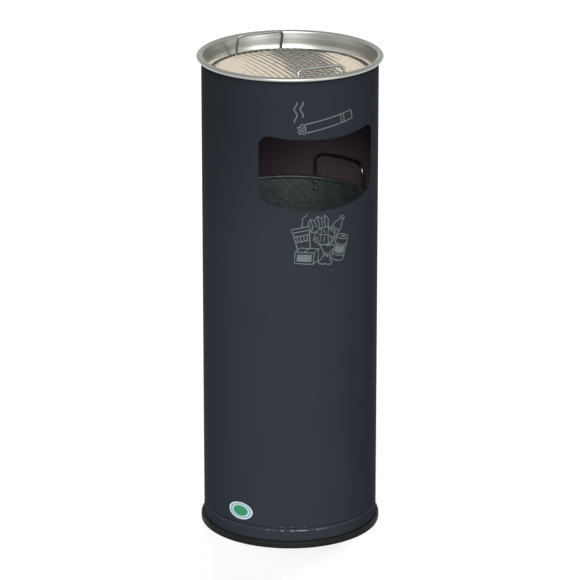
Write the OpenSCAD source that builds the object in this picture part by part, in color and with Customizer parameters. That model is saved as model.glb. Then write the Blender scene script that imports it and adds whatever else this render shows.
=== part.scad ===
// Free-standing ashtray bin: a round sheet-steel body with a litter window, a bucket inside,
// and a spun bowl on top that holds sand and a lift-out wire sieve.
// The floor is at z = 0, the axis of the body is the Z axis, and the window faces -Y.
// Azimuths are measured from -Y towards +X.

/* [Body] */
// Outer diameter of the body
body_d = 240; // [220:1:260]
// Height from the floor to the top of the bowl's rim
total_h = 670; // [620:1:720]
// Thickness of the body's sheet
body_t = 0.8; // [0.6:0.1:1]
// Height of the rolled bead near the foot
bead_z = 27; // [24:0.5:32]
// Radius of the rolled bead
bead_r = 2.7; // [2:0.1:4]
// Depth of the rolled bead
bead_depth = 1.6; // [1.2:0.1:1.8]
// Thickness of the floor plate
floor_t = 1; // [0.8:0.1:1.5]
// Height of the floor plate's upturned flange
floor_flange_h = 9; // [6:0.5:14]

/* [Window] */
// Width of the window, in degrees of the body's round
window_angle = 86.6; // [70:0.2:96]
// Distance from the top of the rim down to the middle of the window's upper edge
window_drop = 88; // [80:0.5:110]
// Height of the window in its middle
window_h = 99; // [80:0.5:110]
// Radius of the window's bowed upper edge
window_top_bow = 500; // [400:10:900]
// Radius of the window's bowed lower edge
window_low_bow = 270; // [220:5:500]
// Radius of the window's corners
window_corner_r = 15; // [8:0.5:24]

/* [Foot ring] */
// How far the foot ring stands out from the body
foot_overhang = 4; // [3:0.5:8]
// Height of the foot ring
foot_h = 9; // [8:0.5:14]
// Height of the web that the body's edge stands on
foot_seat = 3.5; // [2.5:0.5:5]
// How far the foot ring reaches in from the inside of the body
foot_reach = 3.2; // [2:0.2:16]

/* [Ash bowl] */
// How far the bowl's rolled rim stands out from the body
rim_overhang = 6.4; // [5.8:0.1:8]
// Height of the bowl's rolled rim
rim_h = 6.2; // [5.6:0.2:7]
// Gap between the bowl's wall and the inside of the body
bowl_gap = 0.6; // [0.4:0.1:0.8]
// Thickness of the bowl's sheet
bowl_t = 1; // [0.8:0.1:1.1]
// Depth of the bowl inside
bowl_depth = 37; // [36:0.5:60]
// Radius of the bowl's inner corner
bowl_corner_r = 22; // [12:0.5:26]
// Distance from the top of the bowl's rim down to the sand at the sieve's rim
sand_drop = 26.5; // [26.5:0.5:32]
// Rise of the sand against the wall
sand_bank = 4; // [0:0.5:8]

/* [Sieve] */
// Distance from the bowl's wall in to the middle of the sieve's rim wire
sieve_inset = 9.1; // [6:0.1:14]
// Distance from the top of the bowl's rim down to the middle of the sieve's rim wire
sieve_drop = 24; // [20:0.5:24]
// Diameter of the sieve's rim wire
sieve_rim_wire_d = 3.5; // [2.5:0.1:4]
// Spacing of the mesh wires
mesh_pitch = 12; // [12:0.5:20]
// Diameter of the mesh wires
mesh_wire_d = 1.6; // [1:0.1:2.5]
// Rise of the mesh in its middle
mesh_rise = 6; // [3:0.5:12]
// Width of a sieve handle, at the middle of its wire
sieve_handle_w = 67; // [50:1:90]
// Rise of a sieve handle above the rim wire
sieve_handle_rise = 29; // [20:1:40]
// Inward lean of a sieve handle, in degrees
sieve_handle_lean = 14; // [0:1:25]
// Diameter of a sieve handle's wire
sieve_handle_wire_d = 3.5; // [2.5:0.1:4.5]
// Bend radius of a sieve handle
sieve_handle_bend = 7; // [5:0.5:12]
// Azimuth of the front sieve handle
sieve_turn = 2; // [-20:1:20]

/* [Bucket] */
// Gap between the bucket's wall and the inside of the body
bucket_gap = 9.2; // [8:0.2:16]
// Height of the bucket
bucket_h = 435; // [380:0.5:436]
// Thickness of the bucket's sheet
bucket_t = 0.6; // [0.5:0.1:1]
// Diameter of the wire in the bucket's rolled rim
rim_wire_d = 4; // [3:0.2:5]
// Distance from the lower edge up to the bucket's bottom
bottom_lift = 6; // [3:0.5:12]
// Azimuth of the right bucket handle
bucket_turn = 116.6; // [100:0.2:130]
// Span of a bucket handle, in degrees of the bucket's round
bucket_handle_span = 45; // [30:1:60]
// Rise of a bucket handle's wire above the bucket's rim
bucket_handle_rise = 31; // [25:1:40]
// Diameter of a bucket handle's wire
bucket_handle_wire_d = 4; // [3:0.2:4.6]
// Bend radius of a bucket handle
bucket_handle_bend = 10; // [6:0.5:14]
// Width of a handle's flattened foot
tab_w = 10; // [9:0.5:14]
// Height of a handle's flattened foot
tab_h = 24; // [22:0.5:32]
// Thickness of a handle's flattened foot
tab_t = 1.6; // [1.2:0.1:2]
// Diameter of a rivet's shank
rivet_d = 4; // [3:0.2:5]
// Distance between the two rivets of a foot
rivet_pitch = 10; // [9:0.5:14]

/* [Hidden] */

$fn = 96;

// Clearances: between pieces that lift apart, and between pieces that are joined
lift_gap = 0.3;
fit_gap = 0.05;

// Body
body_r = body_d / 2;
body_in_r = body_r - body_t;
bead_centre_r = body_r + bead_r - bead_depth;
bead_ridge_r = bead_centre_r - bead_r - body_t;

// Bowl: its wall runs up into a flattened roll that hangs over the body's edge
bowl_r = body_in_r - bowl_gap;
bowl_in_r = bowl_r - bowl_t;
roll_r = rim_h / 2;
roll_centre_r = bowl_in_r + roll_r;
roll_flat = body_r + rim_overhang - roll_r - roll_centre_r;
roll_z = total_h - roll_r;
roll_hollow_r = roll_r - bowl_t;
roll_end_r = body_r + lift_gap;
bowl_floor_z = total_h - bowl_depth;
body_top = roll_z + sqrt(pow(roll_hollow_r, 2) - pow(roll_centre_r - body_in_r, 2)) - lift_gap;

// Floor plate: its edge rests on the inside of the bead
floor_r = body_in_r - lift_gap;
floor_z = bead_z + sqrt(pow(bead_r + body_t, 2) - pow(bead_centre_r - floor_r, 2)) + fit_gap;
floor_top = floor_z + floor_t;

// Window, drawn flat as it is cut before the sheet is rolled
window_half = body_r * window_angle / 2 * PI / 180;
window_top = total_h - window_drop;
window_low = window_top - window_h;
window_cut_depth = 60;

// Sand and sieve
sand_z = total_h - sand_drop;
sieve_r = bowl_in_r - sieve_inset;
sieve_z = total_h - sieve_drop;
sieve_foot_y = sqrt(pow(sieve_r, 2) - pow(sieve_handle_w / 2, 2));
mesh_bow_r = (pow(sieve_r, 2) + pow(mesh_rise, 2)) / (2 * mesh_rise);
mesh_lines = floor(sieve_r / mesh_pitch);

// Bucket
bucket_r = body_in_r - bucket_gap;
bucket_in_r = bucket_r - bucket_t;
bucket_low = floor_top + lift_gap;
bucket_top = bucket_low + bucket_h;
bucket_roll_r = rim_wire_d / 2 + fit_gap + bucket_t;
bucket_roll_centre_r = bucket_r - bucket_roll_r;
bucket_roll_z = bucket_top - bucket_roll_r;
bucket_handle_r = bucket_r + bucket_handle_wire_d / 2 + fit_gap;
bucket_handle_top = bucket_top + bucket_handle_rise;
bucket_leg_r = norm([bucket_handle_r, bucket_handle_bend]);
leg_offset = atan(bucket_handle_bend / bucket_handle_r);
knuckle_extra = 0.3;
knuckle_gap = 0.3;
knuckle_turn = atan(knuckle_gap / bucket_handle_r);
tab_top = bucket_top - 3;
rivet_head_r = 4;
rivet_head_h = 1.8;
rivet_zs = [for (side = [-1, 1]) tab_top - tab_h / 2 + side * rivet_pitch / 2];
leg_azimuths = [for (side = [-1, 1]) side * bucket_handle_span / 2];

// Points along an arc, from angle a to angle b
function arc(centre, r, a, b, n) =
    [for (i = [0 : n]) centre + r * [cos(a + (b - a) * i / n), sin(a + (b - a) * i / n)]];

// A flat point of the sheet, seen from the front after the sheet is rolled
function rolled(p) = [body_r * sin(p[0] / body_r * 180 / PI), p[1]];

// Right half of the window, from the middle of its lower edge to the middle of its upper edge
function window_half_outline() =
    let (corner_s = window_half - window_corner_r,
         low_span = window_low_bow - window_corner_r,
         top_span = window_top_bow + window_corner_r,
         low_turn = asin(corner_s / low_span),
         top_turn = asin(corner_s / top_span),
         low_corner = [corner_s, window_low + window_low_bow - low_span * cos(low_turn)],
         top_corner = [corner_s, window_top + window_top_bow - top_span * cos(top_turn)])
    concat(
        arc([0, window_low + window_low_bow], window_low_bow, -90, -90 + low_turn, 10),
        arc(low_corner, window_corner_r, -90 + low_turn, 0, 8),
        arc(top_corner, window_corner_r, 0, 90 + top_turn, 8),
        arc([0, window_top + window_top_bow], window_top_bow, -90 + top_turn, -90, 10));

function reversed(list) = [for (i = [len(list) - 1 : -1 : 0]) list[i]];

function window_outline() =
    let (right = window_half_outline(),
         left = [for (p = reversed(right)) [-p[0], p[1]]])
    [for (p = concat(right, left)) rolled(p)];

// Section of a vessel with a flat floor and round corners, standing on z = 0
module vessel_section(r, h, corner_r) {
    square([r - corner_r, h]);
    translate([0, corner_r])
        square([r, h - corner_r]);
    translate([r - corner_r, corner_r])
        intersection() {
            circle(corner_r);
            translate([0, -corner_r])
                square(corner_r);
        }
}

// A round of radius r, drawn out sideways
module long_round(r, flat) {
    circle(r);
    if (flat > 0) {
        translate([flat, 0])
            circle(r);
        translate([0, -r])
            square([flat, 2 * r]);
    }
}

// Section of a rolled edge: a ring, drawn out by flat, whose lower side starts at end_x
module roll_section(r, t, flat, end_x) {
    difference() {
        long_round(r, flat);
        long_round(r - t, flat);
        translate([end_x - 2 * r, -r])
            square([2 * r, r]);
    }
}

// A wire ring lying flat
module wire_ring(r, wire_d, z) {
    translate([0, 0, z])
        rotate_extrude()
            translate([r, 0])
                circle(d = wire_d, $fn = 32);
}

// Quarter of a bent wire, from +X round to +Z
module wire_elbow(bend_r, wire_d) {
    rotate([90, 0, 0])
        rotate_extrude(angle = 90)
            translate([bend_r, 0])
                circle(d = wire_d, $fn = 32);
}

// A flat wire handle standing on z = 0 in the XZ plane
module wire_bow(w, rise, wire_d, bend_r) {
    for (side = [0, 1])
        mirror([side, 0, 0]) {
            translate([w / 2, 0, 0])
                cylinder(d = wire_d, h = rise - bend_r, $fn = 32);
            translate([w / 2 - bend_r, 0, rise - bend_r])
                wire_elbow(bend_r, wire_d);
        }
    translate([bend_r - w / 2, 0, rise])
        rotate([0, 90, 0])
            cylinder(d = wire_d, h = w - 2 * bend_r, $fn = 32);
}

module body_section() {
    difference() {
        union() {
            translate([body_in_r, foot_seat])
                square([body_t, body_top - foot_seat]);
            intersection() {
                translate([bead_centre_r, bead_z])
                    circle(bead_r + body_t);
                translate([bead_ridge_r - 1, bead_z - 2 * bead_r])
                    square([body_in_r - bead_ridge_r + 1 + body_t / 2, 4 * bead_r]);
            }
        }
        translate([bead_centre_r, bead_z])
            circle(bead_r);
    }
}

module body_shell() {
    color("#3c3f45")
        difference() {
            rotate_extrude()
                body_section();
            translate([0, -window_cut_depth, 0])
                rotate([90, 0, 0])
                    linear_extrude(body_r)
                        polygon(window_outline());
        }
}

module floor_plate() {
    color("#4a4d52")
        translate([0, 0, floor_z])
            difference() {
                cylinder(r = floor_r, h = floor_flange_h);
                translate([0, 0, floor_t])
                    cylinder(r = floor_r - floor_t, h = floor_flange_h);
            }
}

module foot_ring() {
    outer_r = body_r + foot_overhang;
    inner_r = body_in_r - foot_reach;
    slot_in_r = body_in_r - fit_gap;
    slot_out_r = body_r + fit_gap;
    color("#232427")
        rotate_extrude()
            polygon(concat(
                [[inner_r, 0], [outer_r - 1.2, 0], [outer_r, 1.6]],
                arc([outer_r - 3, foot_h - 3.4], 3, 0, 80, 6),
                [[slot_out_r, foot_h], [slot_out_r, foot_seat], [slot_in_r, foot_seat],
                 [slot_in_r, foot_h - 1], [inner_r, foot_h - 1]]));
}

module ash_bowl() {
    color("#c3c4c0")
        rotate_extrude() {
            translate([0, bowl_floor_z])
                difference() {
                    translate([0, -bowl_t])
                        vessel_section(bowl_r, roll_z - bowl_floor_z + bowl_t, bowl_corner_r + bowl_t);
                    vessel_section(bowl_in_r, bowl_depth, bowl_corner_r);
                }
            translate([roll_centre_r, roll_z])
                roll_section(roll_r, bowl_t, roll_flat, roll_end_r - roll_centre_r);
        }
}

// The sand lies close under the sieve, bowed up like it, and is banked against the wall
module sand_bed() {
    color("#d6cbb4")
        rotate_extrude()
            intersection() {
                translate([0, bowl_floor_z + fit_gap])
                    vessel_section(bowl_in_r - fit_gap, bowl_depth, bowl_corner_r);
                union() {
                    polygon([[0, bowl_floor_z], [bowl_r, bowl_floor_z], [bowl_r, sand_z + sand_bank],
                             [sieve_r + sieve_rim_wire_d, sand_z], [0, sand_z]]);
                    intersection() {
                        translate([0, sand_z + mesh_rise - mesh_bow_r])
                            circle(mesh_bow_r, $fn = 720);
                        translate([0, bowl_floor_z])
                            square([sieve_r, bowl_depth]);
                    }
                }
            }
}

// Square mesh, seen from above
module mesh_lattice() {
    intersection() {
        circle(sieve_r);
        union()
            for (turn = [0, 90], i = [-mesh_lines : mesh_lines])
                rotate(turn)
                    translate([i * mesh_pitch - mesh_wire_d / 2, -sieve_r])
                        square([mesh_wire_d, 2 * sieve_r]);
    }
}

// The mesh bows up a little: the lattice is cut out of a shallow dome
module sieve_mesh() {
    color("#9a9a94")
        rotate([0, 0, sieve_turn])
            intersection() {
                translate([0, 0, sieve_z - mesh_wire_d])
                    linear_extrude(mesh_rise + 2 * mesh_wire_d)
                        mesh_lattice();
                translate([0, 0, sieve_z + mesh_rise - mesh_bow_r])
                    rotate_extrude($fn = 256)
                        intersection() {
                            difference() {
                                circle(mesh_bow_r + mesh_wire_d / 2, $fn = 720);
                                circle(mesh_bow_r - mesh_wire_d / 2, $fn = 720);
                            }
                            translate([0, mesh_bow_r - 2 * mesh_rise])
                                square([sieve_r + 1, 3 * mesh_rise]);
                        }
            }
}

module sieve_rim_wire() {
    color("#8c8c88")
        wire_ring(sieve_r, sieve_rim_wire_d, sieve_z);
}

module sieve_handle(azimuth) {
    color("#a4a6a4")
        rotate([0, 0, azimuth])
            translate([0, -sieve_foot_y, sieve_z])
                rotate([-sieve_handle_lean, 0, 0])
                    wire_bow(sieve_handle_w, sieve_handle_rise, sieve_handle_wire_d, sieve_handle_bend);
}

module sieve_handle_front() {
    sieve_handle(sieve_turn);
}

module sieve_handle_back() {
    sieve_handle(sieve_turn + 180);
}

// Places its child at each rivet of both bucket handles, with +Y pointing outwards from the wall
module at_rivets() {
    for (turn = [0, 180], leg = leg_azimuths, z = rivet_zs)
        rotate([0, 0, bucket_turn + turn + leg])
            translate([0, -bucket_r, z])
                rotate([0, 0, 180])
                    children();
}

module rivet_holes() {
    at_rivets()
        rotate([90, 0, 0])
            cylinder(d = rivet_d + 2 * fit_gap, h = 20, center = true, $fn = 32);
}

module bucket_wall() {
    color("#8f9790")
        difference() {
            rotate_extrude() {
                translate([bucket_in_r, bucket_low])
                    square([bucket_t, bucket_roll_z - bucket_low]);
                translate([bucket_roll_centre_r, bucket_roll_z])
                    mirror([1, 0])
                        roll_section(bucket_roll_r, bucket_t, 0, 0);
            }
            rivet_holes();
        }
}

module bucket_bottom() {
    edge_r = bucket_in_r - fit_gap;
    color("#868e88")
        translate([0, 0, bucket_low])
            difference() {
                cylinder(r = edge_r, h = bottom_lift);
                translate([0, 0, -bucket_t])
                    cylinder(r = edge_r - bucket_t, h = bottom_lift);
            }
}

module bucket_rim_wire() {
    color("#7d827e")
        wire_ring(bucket_roll_centre_r, rim_wire_d, bucket_roll_z);
}

// A wire handle bent to the round of the bucket, with its ends flattened for the rivets.
// Each bend starts and ends in a knuckle that is a hair thicker than the wire.
module bucket_handle(azimuth) {
    arc_half = bucket_handle_span / 2 - leg_offset;
    color("#6f7472")
        difference() {
            rotate([0, 0, azimuth]) {
                translate([0, 0, bucket_handle_top])
                    rotate([0, 0, knuckle_turn - 90 - arc_half])
                        rotate_extrude(angle = 2 * (arc_half - knuckle_turn))
                            translate([bucket_handle_r, 0])
                                circle(d = bucket_handle_wire_d, $fn = 32);
                for (side = [0, 1])
                    mirror([side, 0, 0]) {
                        rotate([0, 0, arc_half])
                            translate([0, -bucket_handle_r, bucket_handle_top - bucket_handle_bend])
                                handle_bend();
                        rotate([0, 0, bucket_handle_span / 2])
                            handle_leg();
                    }
            }
            rivet_holes();
        }
}

module handle_bend() {
    wire_elbow(bucket_handle_bend, bucket_handle_wire_d);
    for (end = [[1, 0, 0], [0, 0, 1]])
        translate(bucket_handle_bend * end)
            sphere(d = bucket_handle_wire_d + knuckle_extra, $fn = 32);
}

module handle_leg() {
    leg_low = tab_top - 2;
    leg_top = bucket_handle_top - bucket_handle_bend - knuckle_gap;
    translate([0, -bucket_leg_r, leg_low])
        cylinder(d = bucket_handle_wire_d, h = leg_top - leg_low, $fn = 32);
    translate([-tab_w / 2, -bucket_r - fit_gap - tab_t, tab_top - tab_h])
        cube([tab_w, tab_t, tab_h]);
}

module bucket_handle_right() {
    bucket_handle(bucket_turn);
}

module bucket_handle_left() {
    bucket_handle(bucket_turn + 180);
}

// Domed head, turned about its axis and standing on z = 0
module rivet_head() {
    dome_r = (pow(rivet_head_r, 2) + pow(rivet_head_h, 2)) / (2 * rivet_head_h);
    rotate_extrude($fn = 48)
        intersection() {
            translate([0, rivet_head_h - dome_r])
                circle(dome_r);
            square([rivet_head_r, rivet_head_h]);
        }
}

module bucket_rivets() {
    inner_face = -bucket_t - 0.15;
    outer_face = tab_t + 2 * fit_gap;
    color("#b9bdba")
        at_rivets()
            rotate([-90, 0, 0]) {
                translate([0, 0, inner_face])
                    cylinder(d = rivet_d, h = outer_face - inner_face, $fn = 32);
                translate([0, 0, outer_face])
                    rivet_head();
                translate([0, 0, inner_face])
                    mirror([0, 0, 1])
                        rivet_head();
            }
}

body_shell();
floor_plate();
foot_ring();
ash_bowl();
sand_bed();
sieve_mesh();
sieve_rim_wire();
sieve_handle_front();
sieve_handle_back();
bucket_wall();
bucket_bottom();
bucket_rim_wire();
bucket_handle_right();
bucket_handle_left();
bucket_rivets();
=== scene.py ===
from math import asin, atan2, cos, degrees, hypot, pi, radians, sin, sqrt

import bmesh
import bpy
from mathutils import Matrix, Vector, noise


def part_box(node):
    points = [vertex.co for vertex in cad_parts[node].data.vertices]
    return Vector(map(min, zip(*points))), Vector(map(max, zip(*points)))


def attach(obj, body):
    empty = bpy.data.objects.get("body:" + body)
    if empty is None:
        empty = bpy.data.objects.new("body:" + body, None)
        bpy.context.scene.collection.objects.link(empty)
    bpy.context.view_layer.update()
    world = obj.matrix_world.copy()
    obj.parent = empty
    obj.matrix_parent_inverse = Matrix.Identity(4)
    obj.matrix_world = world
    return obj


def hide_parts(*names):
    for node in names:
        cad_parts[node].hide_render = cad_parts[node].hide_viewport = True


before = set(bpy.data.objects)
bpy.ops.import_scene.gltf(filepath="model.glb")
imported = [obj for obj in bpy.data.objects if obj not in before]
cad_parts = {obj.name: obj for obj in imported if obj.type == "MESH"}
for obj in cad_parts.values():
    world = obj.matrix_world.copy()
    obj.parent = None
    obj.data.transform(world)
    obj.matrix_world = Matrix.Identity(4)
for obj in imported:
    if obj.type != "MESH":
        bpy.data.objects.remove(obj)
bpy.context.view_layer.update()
mm = 0.001


def linear(hexCode):  # sRGB hex to the linear colour that shaders and lamps take
    channels = [int(hexCode[i:i + 2], 16) / 255 for i in (1, 3, 5)]
    return [c / 12.92 if c <= 0.04045 else ((c + 0.055) / 1.055) ** 2.4 for c in channels] + [1.0]


def addNode(tree, kind, feeds, **settings):  # feeds are sockets or values, by input name or number
    node = tree.nodes.new("ShaderNode" + kind)
    for name, value in settings.items():
        setattr(node, name, value)
    for socket, value in feeds.items():
        if isinstance(value, bpy.types.NodeSocket):
            tree.links.new(value, node.inputs[socket])
        else:
            node.inputs[socket].default_value = value
    return node


def startMaterial(name, sockets):
    material = bpy.data.materials.new(name)
    material.use_nodes = True
    tree = material.node_tree
    shader = tree.nodes["Principled BSDF"]
    for socket, value in sockets.items():
        shader.inputs[socket].default_value = value
    return material, tree, shader


def linkTo(tree, shader, feeds):
    for socket, source in feeds.items():
        tree.links.new(source, shader.inputs[socket])


def setStops(ramp, stops):  # places from 0 to 1 and their colours
    while len(ramp.color_ramp.elements) < len(stops):
        ramp.color_ramp.elements.new(0.5)
    for element, (position, code) in zip(ramp.color_ramp.elements, stops):
        element.position = position
        element.color = linear(code)


def addObject(name, data):
    item = bpy.data.objects.new(name, data)
    bpy.context.scene.collection.objects.link(item)
    return item


def atAzimuth(angle, x=0.0, y=0.0, z=0.0):  # a place in mm before it is turned round the body's axis
    return Matrix.Rotation(radians(angle), 4, "Z") @ Matrix.Translation((x * mm, y * mm, z * mm))


# Camera: the photograph looks down a little on the left of the window, uprights nearly parallel
cameraView = {"azimuth": -22.8, "away": 5000, "height": 2040, "pitch": -18.85, "lens": 238.5}


def makeCamera(view):
    turn = radians(view["azimuth"])
    camera = addObject("photoCamera", bpy.data.cameras.new("photoCamera"))
    camera.data.lens = view["lens"]
    camera.data.sensor_width = 36
    camera.data.clip_end = 100
    camera.location = (view["away"] * mm * sin(turn), -view["away"] * mm * cos(turn), view["height"] * mm)
    camera.rotation_euler = (radians(90 + view["pitch"]), 0, turn)
    bpy.context.scene.camera = camera


makeCamera(cameraView)
print("camera placed")


# Materials: a Mix node takes its two colours at sockets 6 and 7 and gives the blend out at 2

# Painted light on the outer coat: painted highlights in spots along the lips of the bead, most of all at the
# front, painted shade at the upper left, and a painted shadow in the corner above the foot ring
coatPaintedLight = {"lips": (24.6, 29.4), "lipHalf": 0.35, "rubSize": 3.2, "glintTone": "#c3c8cb", "reach": 120,
            "glintSpot": {"azimuth": -17.6, "height": 27, "near": 12, "far": 55, "most": 0.8, "least": 0.06},
            # painted shade: the upper left of the coat is darkened towards black, most near its spot
            "shadeSpot": {"azimuth": -85, "height": 640, "near": 40, "far": 220, "most": 0.3, "least": 0.0},
            # painted shadow: the coat darkens in a band just above the foot ring
            "shadeTone": "#000000", "shadowRun": (9.4, 11.4), "shadowShare": 0.75, "shadowTone": "#08090a"}


def paintedLightTone(tree, place, tone, paintedMarks):
    fades = []
    # a painted highlight and a painted shade, each fading with the distance from its spot
    for mark in (paintedMarks["glintSpot"], paintedMarks["shadeSpot"]):  # marks that fade with the distance from a spot
        spot = atAzimuth(mark["azimuth"], 0, -paintedMarks["reach"], mark["height"]).translation
        away = addNode(tree, "VectorMath", {0: place, 1: spot}, operation="DISTANCE").outputs["Value"]
        fade = addNode(tree, "MapRange", {"Value": away, "From Min": mark["near"] * mm,
                                          "From Max": mark["far"] * mm, "To Min": mark["most"],
                                          "To Max": mark["least"]})
        fades.append(fade.outputs["Result"])
    height = addNode(tree, "SeparateXYZ", {"Vector": place}).outputs["Z"]
    # painted highlight: bright spots, broken by noise, along both lips of the bead and strongest near the
    # front spot
    lips = [addNode(tree, "Math", {0: height, 1: z * mm, 2: paintedMarks["lipHalf"] * mm}, operation="COMPARE")
            for z in paintedMarks["lips"]]
    glintMask = addNode(tree, "Math", {0: lips[0].outputs[0], 1: lips[1].outputs[0]}, operation="MAXIMUM")
    grain = addNode(tree, "TexNoise", {"Vector": place, "Scale": 1 / (paintedMarks["rubSize"] * mm), "Detail": 2.0})
    glintDots = addNode(tree, "MapRange", {"Value": grain.outputs["Fac"], "From Min": 0.46, "From Max": 0.56})
    for share in (glintDots.outputs["Result"], fades[0]):
        glintMask = addNode(tree, "Math", {0: glintMask.outputs[0], 1: share}, operation="MULTIPLY")
    # painted shadow in the corner above the foot ring, by height
    low, high = paintedMarks["shadowRun"]
    cornerShadow = addNode(tree, "MapRange", {"Value": height, "From Min": low * mm, "From Max": high * mm,
                                       "To Min": paintedMarks["shadowShare"], "To Max": 0.0}).outputs["Result"]
    # blends the painted highlight, the painted shade at the upper left and the painted corner shadow into the
    # tone
    for share, layer in ((glintMask.outputs[0], "glintTone"), (fades[1], "shadeTone"), (cornerShadow, "shadowTone")):
        tone = addNode(tree, "Mix", {0: share, 6: tone, 7: linear(paintedMarks[layer])}, data_type="RGBA").outputs[2]
    return tone


def makeFinish(name, sockets, spread, tones, gloss=None, skin=None, paintedMarks=None):
    # two tones in soft patches, a gloss that follows them, and a fine skin of size, detail and strength
    material, tree, shader = startMaterial(name, sockets)
    place = addNode(tree, "TexCoord", {}).outputs["Object"]
    patch = addNode(tree, "TexNoise", {"Vector": place, "Scale": 1 / (spread * mm), "Detail": 3.0}).outputs[0]
    first, second = (linear(code) for code in tones)
    tone = addNode(tree, "Mix", {0: patch, 6: first, 7: second}, data_type="RGBA").outputs[2]
    # painted highlight and shade are blended in where they are given
    feeds = {"Base Color": paintedLightTone(tree, place, tone, paintedMarks) if paintedMarks else tone}
    if gloss:
        low, high = gloss
        rough = addNode(tree, "MapRange", {"Value": patch, "To Min": low, "To Max": high})
        feeds["Roughness"] = rough.outputs["Result"]
    if skin:
        size, detail, strength = skin
        grain = addNode(tree, "TexNoise", {"Vector": place, "Scale": 1 / (size * mm), "Detail": detail})
        bump = addNode(tree, "Bump", {"Strength": strength, "Distance": 0.1 * mm, "Height": grain.outputs[0]})
        feeds["Normal"] = bump.outputs["Normal"]
    linkTo(tree, shader, feeds)
    return material


rimCrownShade = {"from": 666.6, "to": 669.4, "share": 0.6, "tone": "#62625d"}  # painted shade: the rim's roll darkens towards its crown


def makeSpunAluminium(crownShade):
    # Aluminium sheet spun on a lathe: fine turning lines that run round and catch the light
    material, tree, shader = startMaterial("spunAluminium", {"Metallic": 1.0})
    place = addNode(tree, "TexCoord", {}).outputs["Object"]
    x, y, z = addNode(tree, "SeparateXYZ", {"Vector": place}).outputs
    square = addNode(tree, "Math", {0: x, 1: x}, operation="MULTIPLY").outputs[0]
    sumSquare = addNode(tree, "Math", {0: y, 1: y, 2: square}, operation="MULTIPLY_ADD").outputs[0]
    radius = addNode(tree, "Math", {0: sumSquare}, operation="SQRT").outputs[0]
    along = addNode(tree, "Math", {0: radius, 1: z}, operation="ADD").outputs[0]
    # turning lines are about 0.3 mm apart, drawn at 2.2 mm so that they show
    fine = addNode(tree, "TexNoise", {"W": along, "Scale": 1 / (2.2 * mm), "Detail": 3.0},
                   noise_dimensions="1D").outputs["Fac"]
    broad = addNode(tree, "TexNoise", {"W": along, "Scale": 1 / (4 * mm), "Detail": 2.0},
                    noise_dimensions="1D")
    cloud = addNode(tree, "TexNoise", {"Vector": place, "Scale": 1 / (45 * mm), "Detail": 2.0})
    lines = addNode(tree, "MapRange", {"Value": broad.outputs["Fac"], "From Min": 0.3, "From Max": 0.7})
    patches = addNode(tree, "Math", {0: cloud.outputs["Fac"], 1: 0.5}, operation="MULTIPLY")
    # painted shade: the tone darkens up the rolled rim towards its crown
    crown = addNode(tree, "MapRange", {"Value": z, "From Min": crownShade["from"] * mm,
                                       "From Max": crownShade["to"] * mm, "To Max": crownShade["share"]})
    tone = linear("#9f9f9a")
    for layer, code in ((lines, "#bdbdb8"), (patches, "#b0b0ab"), (crown, crownShade["tone"])):
        tone = addNode(tree, "Mix", {0: layer.outputs[0], 6: tone, 7: linear(code)},
                       data_type="RGBA").outputs[2]
    gloss = addNode(tree, "MapRange", {"Value": fine, "To Min": 0.22, "To Max": 0.42})
    bump = addNode(tree, "Bump", {"Strength": 0.22, "Distance": 0.12 * mm, "Height": fine})
    linkTo(tree, shader, {"Base Color": tone, "Roughness": gloss.outputs["Result"],
                          "Normal": bump.outputs["Normal"]})
    return material


def makeQuartzSand():
    # Dry quartz sand: pale beige grains, a few darker and a few glassy ones
    material, tree, shader = startMaterial("quartzSand", {"Roughness": 0.9, "Specular IOR Level": 0.3})
    place = addNode(tree, "TexCoord", {}).outputs["Object"]
    # grains are about 0.5 mm, drawn at 1.3 mm so that they show
    grain = addNode(tree, "TexVoronoi", {"Vector": place, "Scale": 1 / (1.3 * mm)})
    cloud = addNode(tree, "TexNoise", {"Vector": place, "Scale": 1 / (28 * mm), "Detail": 3.0}).outputs["Fac"]
    ramp = addNode(tree, "ValToRGB", {"Fac": grain.outputs["Color"]})
    setStops(ramp, ((0.0, "#a5957e"), (0.12, "#cabda9"), (0.55, "#d5cab7"), (0.9, "#e1d8c9"),
                    (1.0, "#e9e4da")))
    tone = addNode(tree, "Mix", {0: cloud, 6: ramp.outputs["Color"], 7: linear("#cec3b0")}, data_type="RGBA")
    bump = addNode(tree, "Bump", {"Strength": 0.5, "Distance": 0.5 * mm, "Height": grain.outputs["Distance"]},
                   invert=True)
    linkTo(tree, shader, {"Base Color": tone.outputs[2], "Normal": bump.outputs["Normal"]})
    return material


def makeGalvanisedSheet():
    # Hot-dip galvanised sheet: small zinc spangles, each with its own shade and gloss
    material, tree, shader = startMaterial("galvanisedSheet", {"Metallic": 1.0})
    place = addNode(tree, "TexCoord", {}).outputs["Object"]
    warp = addNode(tree, "TexNoise", {"Vector": place, "Scale": 1 / (6 * mm), "Detail": 2.0})
    shift = addNode(tree, "VectorMath", {0: warp.outputs["Color"], "Scale": 3 * mm}, operation="SCALE")
    moved = addNode(tree, "VectorMath", {0: place, 1: shift.outputs[0]}, operation="ADD")
    spangle = addNode(tree, "TexVoronoi", {"Vector": moved.outputs[0], "Scale": 1 / (4 * mm)})
    value = addNode(tree, "SeparateColor", {"Color": spangle.outputs["Color"]}).outputs
    tone = addNode(tree, "Mix", {0: value["Red"], 6: linear("#606969"), 7: linear("#767e7e")},
                   data_type="RGBA")
    gloss = addNode(tree, "MapRange", {"Value": value["Green"], "To Min": 0.56, "To Max": 0.7})
    linkTo(tree, shader, {"Base Color": tone.outputs[2], "Roughness": gloss.outputs["Result"]})
    return material


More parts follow.
